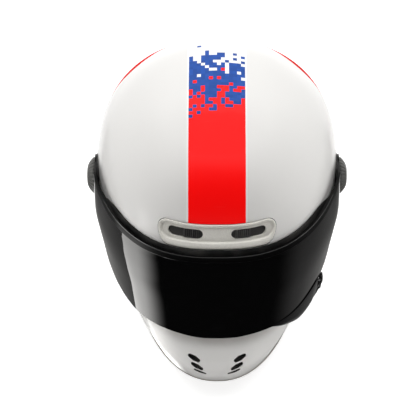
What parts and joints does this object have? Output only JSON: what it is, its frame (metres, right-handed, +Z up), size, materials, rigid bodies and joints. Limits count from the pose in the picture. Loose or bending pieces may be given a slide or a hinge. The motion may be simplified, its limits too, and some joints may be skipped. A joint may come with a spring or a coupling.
{
  "type": "full face motorcycle helmet",
  "caption": "Full face helmet with a tilting smoke visor on two side hubs, sliding forehead vents, chin vents, foam and cloth lining and a ring-fastened chin strap.",
  "frame": {"origin": "on the resting plane, under the middle of the bounding box", "axes": "the wearer looks along -Y, their left side is +X, +Z is up"},
  "size_m": [0.2672, 0.3354, 0.2551],
  "materials": {
    "shell_paint": "glossy clear coat",
    "foam": "moulded foam",
    "lining": "brushed fabric",
    "rubber": "matt",
    "visor_smoke": "glossy dark smoke",
    "black_plastic": "glossy",
    "matt_plastic": "matt",
    "hub_grey": "satin",
    "vent_grey": "satin",
    "steel": "satin",
    "webbing": "woven",
    "curtain_cloth": "knit"
  },
  "bodies": {
    "helmet": {"shell": "shell_paint", "eps_liner": "foam", "chin_eps": "foam", "crown_pad": "lining", "cheek_pad_left": "lining", "cheek_pad_right": "lining", "neck_roll": "lining", "edge_trim": "rubber", "eyeport_gasket": "rubber", "pivot_base_left": "matt_plastic", "pivot_base_right": "matt_plastic", "base_screws": "steel", "hub_cover_left": "hub_grey", "hub_cover_right": "hub_grey", "hub_screws": "steel", "vent_frame": "vent_grey", "vent_duct": "matt_plastic", "chin_grille_left": "matt_plastic", "chin_grille_right": "matt_plastic", "breath_guard": "rubber", "chin_curtain": "curtain_cloth", "latch_catch": "black_plastic", "strap_left": "webbing", "strap_right": "webbing", "strap_rivets": "steel", "exhaust_cover_left": "matt_plastic", "exhaust_cover_right": "matt_plastic"},
    "visor": {"visor": "visor_smoke", "latch_housing": "black_plastic", "latch_pin": "steel"},
    "latch_lever": {"latch_lever": "black_plastic"},
    "slider_left": {"vent_slider_left": "matt_plastic"},
    "slider_right": {"vent_slider_right": "matt_plastic"},
    "ring_lower": {"ring_lower": "steel"},
    "ring_upper": {"ring_upper": "steel"}
  },
  "joints": [
    {"name": "visor_pivot", "type": "hinge", "parent": "helmet", "child": "visor", "pos_m": [0, 0.008, 0.15], "axis": [-1, 0, 0], "range_deg": [0, 55]},
    {"name": "latch_lever_hinge", "type": "hinge", "parent": "visor", "child": "latch_lever", "pos_m": [0.10476, -0.07709, 0.07744], "axis": [-0.0641, 0.1015, -0.9928], "range_deg": [0, 25], "stiffness_Nm_per_rad": 0.02},
    {"name": "slider_left_track", "type": "hinge", "parent": "helmet", "child": "slider_left", "pos_m": [0.0104, 0.00215, 0.1936], "axis": [0, 0, 1], "range_deg": [0, 3.4]},
    {"name": "slider_right_track", "type": "hinge", "parent": "helmet", "child": "slider_right", "pos_m": [-0.0104, 0.00215, 0.1936], "axis": [0, 0, -1], "range_deg": [0, 3.4]},
    {"name": "ring_lower_hinge", "type": "hinge", "parent": "helmet", "child": "ring_lower", "pos_m": [0.016, 0.01901, 0.0048], "axis": [0, -1, 0], "range_deg": [0, 8]},
    {"name": "ring_upper_hinge", "type": "hinge", "parent": "helmet", "child": "ring_upper", "pos_m": [0.016, 0.01901, 0.009], "axis": [0, 1, 0], "range_deg": [0, 75]}
  ]
}
